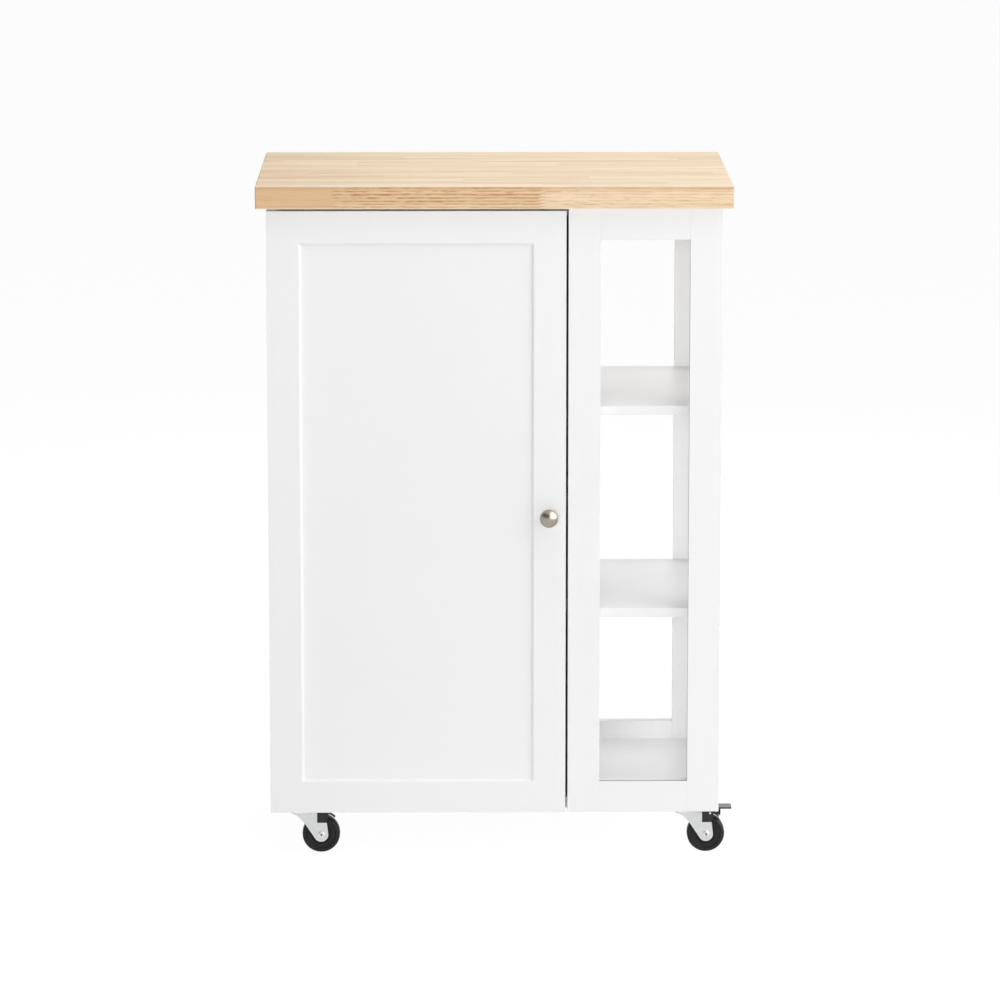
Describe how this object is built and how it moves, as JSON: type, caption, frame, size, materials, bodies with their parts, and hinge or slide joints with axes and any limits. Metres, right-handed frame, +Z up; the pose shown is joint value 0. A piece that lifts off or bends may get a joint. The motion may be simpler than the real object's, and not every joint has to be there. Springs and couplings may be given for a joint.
{
  "type": "kitchen cart",
  "caption": "Rolling kitchen cart: white cupboard with a hinged panel door beside an open shelved bay, under a solid wood worktop, on swivel casters.",
  "frame": {"origin": "on the floor, under the middle of the cart's overall box", "axes": "+Z up, -Y towards the door and the user, +X towards the open bay's end"},
  "size_m": [0.6262, 0.4145, 0.9],
  "materials": {
    "oiled_hardwood": "sealed glued-stave hardwood",
    "white_lacquer": "white satin lacquer on fibreboard",
    "satin_nickel": "satin nickel plate",
    "zinc_plated_steel": "bright zinc plate",
    "nickel_plated_steel": "nickel plate",
    "black_wheel": "moulded black wheel",
    "black_housing": "moulded black plastic",
    "grey_pedal": "moulded dark grey plastic",
    "bearing_plastic": "hard bearing plastic",
    "white_plastic": "moulded white plastic"
  },
  "bodies": {
    "cart": {"back_panel": "white_lacquer", "back_rails": "white_lacquer", "back_stiles": "white_lacquer", "bottom_panel": "white_lacquer", "caster_plates": "zinc_plated_steel", "caster_screws": "nickel_plated_steel", "catch_body": "white_plastic", "catch_screws": "nickel_plated_steel", "end_rails": "white_lacquer", "end_stiles": "white_lacquer", "front_rails": "white_lacquer", "front_stiles": "white_lacquer", "front_stretcher": "white_lacquer", "hinge_arms": "nickel_plated_steel", "hinge_plate_screws": "nickel_plated_steel", "hinge_plates": "nickel_plated_steel", "left_side_panel": "white_lacquer", "lower_cabinet_shelf": "white_lacquer", "lower_open_shelf": "white_lacquer", "partition_panel": "white_lacquer", "rear_stretcher": "white_lacquer", "shelf_pins": "nickel_plated_steel", "swivel_rings": "bearing_plastic", "upper_cabinet_shelf": "white_lacquer", "upper_open_shelf": "white_lacquer", "worktop": "oiled_hardwood", "worktop_screws": "nickel_plated_steel"},
    "door": {"door_panel": "white_lacquer", "hinge_cup_screws": "nickel_plated_steel", "hinge_cups": "nickel_plated_steel", "hinge_pins": "nickel_plated_steel", "knob": "satin_nickel", "knob_screw": "nickel_plated_steel", "strike_plate": "nickel_plated_steel"},
    "front_left_swivel": {"front_left_axle": "zinc_plated_steel", "front_left_fork": "zinc_plated_steel", "front_left_hood": "black_housing"},
    "front_left_roller": {"front_left_wheel": "black_wheel"},
    "front_right_swivel": {"front_right_axle": "zinc_plated_steel", "front_right_fork": "zinc_plated_steel", "front_right_hood": "black_housing", "front_right_pedal_pin": "zinc_plated_steel"},
    "front_right_roller": {"front_right_wheel": "black_wheel"},
    "back_left_swivel": {"back_left_axle": "zinc_plated_steel", "back_left_fork": "zinc_plated_steel", "back_left_hood": "black_housing", "back_left_pedal_pin": "zinc_plated_steel"},
    "back_left_roller": {"back_left_wheel": "black_wheel"},
    "back_right_swivel": {"back_right_axle": "zinc_plated_steel", "back_right_fork": "zinc_plated_steel", "back_right_hood": "black_housing"},
    "back_right_roller": {"back_right_wheel": "black_wheel"},
    "front_right_brake": {"front_right_brake_pedal": "grey_pedal"},
    "back_left_brake": {"back_left_brake_pedal": "grey_pedal"}
  },
  "joints": [
    {"name": "door_swing", "type": "hinge", "parent": "cart", "child": "door", "pos_m": [-0.2885, -0.1755, 0.4655], "axis": [0, 0, -1], "range_deg": [0, 95]},
    {"name": "front_left_swivelling", "type": "hinge", "parent": "cart", "child": "front_left_swivel", "pos_m": [-0.2565, -0.129, 0.057], "axis": [0, 0, 1], "continuous": true},
    {"name": "front_left_rolling", "type": "hinge", "parent": "front_left_swivel", "child": "front_left_roller", "pos_m": [-0.231, -0.129, 0.025], "axis": [0, 1, 0], "continuous": true},
    {"name": "front_right_swivelling", "type": "hinge", "parent": "cart", "child": "front_right_swivel", "pos_m": [0.2565, -0.129, 0.057], "axis": [0, 0, 1], "continuous": true},
    {"name": "front_right_rolling", "type": "hinge", "parent": "front_right_swivel", "child": "front_right_roller", "pos_m": [0.282, -0.129, 0.025], "axis": [0, 1, 0], "continuous": true},
    {"name": "front_right_braking", "type": "hinge", "parent": "front_right_swivel", "child": "front_right_brake", "pos_m": [0.2875, -0.129, 0.0535], "axis": [0, 1, 0], "range_deg": [0, 15]},
    {"name": "back_left_swivelling", "type": "hinge", "parent": "cart", "child": "back_left_swivel", "pos_m": [-0.2565, 0.145, 0.057], "axis": [0, 0, 1], "continuous": true},
    {"name": "back_left_rolling", "type": "hinge", "parent": "back_left_swivel", "child": "back_left_roller", "pos_m": [-0.231, 0.145, 0.025], "axis": [0, 1, 0], "continuous": true},
    {"name": "back_left_braking", "type": "hinge", "parent": "back_left_swivel", "child": "back_left_brake", "pos_m": [-0.2255, 0.145, 0.0535], "axis": [0, 1, 0], "range_deg": [0, 15]},
    {"name": "back_right_swivelling", "type": "hinge", "parent": "cart", "child": "back_right_swivel", "pos_m": [0.2565, 0.145, 0.057], "axis": [0, 0, 1], "continuous": true},
    {"name": "back_right_rolling", "type": "hinge", "parent": "back_right_swivel", "child": "back_right_roller", "pos_m": [0.282, 0.145, 0.025], "axis": [0, 1, 0], "continuous": true}
  ]
}
